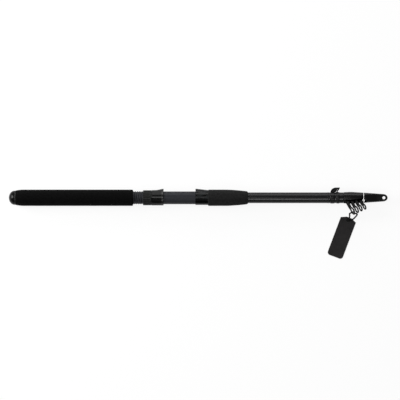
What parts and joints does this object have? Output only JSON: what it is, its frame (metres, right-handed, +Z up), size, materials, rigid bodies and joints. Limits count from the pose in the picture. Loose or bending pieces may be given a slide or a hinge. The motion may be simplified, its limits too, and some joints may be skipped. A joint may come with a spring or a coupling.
{
  "type": "telescopic fishing rod",
  "caption": "Collapsed telescopic fishing rod with foam grips, a screw reel seat, nested tapered sections with leaning ring guides, and a slotted tip cover with a hang tag.",
  "frame": {"origin": "on the rod's axis at the middle of the reel seat", "axes": "+X along the rod towards the tip, +Y towards the side that carries the reel, +Z up from the surface it lies on"},
  "size_m": [0.7576, 0.1441, 0.0452],
  "materials": {
    "moulded_plastic": "satin black moulded plastic",
    "soft_pad": "soft black rubber",
    "satin_aluminium": "satin turned aluminium",
    "grip_foam": "matt closed-cell foam",
    "blank": "semi-gloss black lacquered fibre tube",
    "seat_plastic": "satin grey-black filled nylon",
    "hood_plastic": "polished black filled nylon",
    "bright_band": "brushed band",
    "whipping": "black thread under clear resin",
    "guide_metal": "black coated steel",
    "ceramic": "polished black ceramic",
    "cover_plastic": "satin black plastic",
    "clear_tie": "milky nylon",
    "tag_card": "matt black card",
    "cord": "black braided cord"
  },
  "bodies": {
    "handle": {"butt_sleeve": "satin_aluminium", "rear_grip": "grip_foam", "butt_tube": "blank", "reel_seat_barrel": "seat_plastic", "fixed_hood": "hood_plastic", "fore_grip": "grip_foam", "tube_trim_ring": "whipping", "guide_1_whipping": "whipping", "guide_1_frame": "guide_metal", "guide_1_ring": "ceramic"},
    "cap_pad": {"butt_pad": "soft_pad"},
    "cap": {"butt_cap": "moulded_plastic"},
    "hood": {"moving_hood": "hood_plastic", "moving_hood_band": "bright_band"},
    "nut": {"lock_nut": "seat_plastic"},
    "section_2": {"section_2_tube": "blank", "guide_2_frame": "guide_metal", "guide_2_ring": "ceramic", "hang_tag": "tag_card", "tag_eyelet": "guide_metal", "tag_knot": "cord", "tag_cord": "cord"},
    "section_3": {"section_3_tube": "blank", "guide_3_frame": "guide_metal", "guide_3_ring": "ceramic"},
    "section_4": {"section_4_tube": "blank", "guide_4_frame": "guide_metal", "guide_4_ring": "ceramic"},
    "section_5": {"section_5_tube": "blank", "guide_5_frame": "guide_metal", "guide_5_ring": "ceramic"},
    "section_6": {"section_6_tip": "blank", "tip_top_frame": "guide_metal", "tip_top_ring": "ceramic"},
    "cover": {"tip_cover": "cover_plastic", "cover_tie": "clear_tie"}
  },
  "joints": [
    {"name": "section_2_slide", "type": "slide", "parent": "handle", "child": "section_2", "axis": [1, 0, 0], "range_m": [0, 0.581]},
    {"name": "section_3_slide", "type": "slide", "parent": "section_2", "child": "section_3", "axis": [1, 0, 0], "range_m": [0, 0.592]},
    {"name": "section_4_slide", "type": "slide", "parent": "section_3", "child": "section_4", "axis": [1, 0, 0], "range_m": [0, 0.6]},
    {"name": "section_5_slide", "type": "slide", "parent": "section_4", "child": "section_5", "axis": [1, 0, 0], "range_m": [0, 0.608]},
    {"name": "section_6_slide", "type": "slide", "parent": "section_5", "child": "section_6", "axis": [1, 0, 0], "range_m": [0, 0.616]},
    {"name": "cover_pull", "type": "slide", "parent": "section_6", "child": "cover", "axis": [1, 0, 0], "range_m": [0, 0.1]},
    {"name": "hood_slide", "type": "slide", "parent": "handle", "child": "hood", "axis": [1, 0, 0], "range_m": [-0.0161, 0.0161]},
    {"name": "nut_turn", "type": "hinge", "parent": "hood", "child": "nut", "pos_m": [-0.0644, 0, 0], "axis": [1, 0, 0], "range_deg": [-1280, 1280]},
    {"name": "cap_draw", "type": "slide", "parent": "handle", "child": "cap_pad", "axis": [1, 0, 0], "range_m": [-0.0096, 0]},
    {"name": "cap_turn", "type": "hinge", "parent": "cap_pad", "child": "cap", "pos_m": [-0.3298, 0, 0], "axis": [1, 0, 0], "range_deg": [-1710, 0]}
  ],
  "couplings": [
    {"joint": "hood_slide", "follows": "nut_turn", "m_per_rad": 0.0007162},
    {"joint": "cap_draw", "follows": "cap_turn", "m_per_rad": 0.00031831}
  ]
}
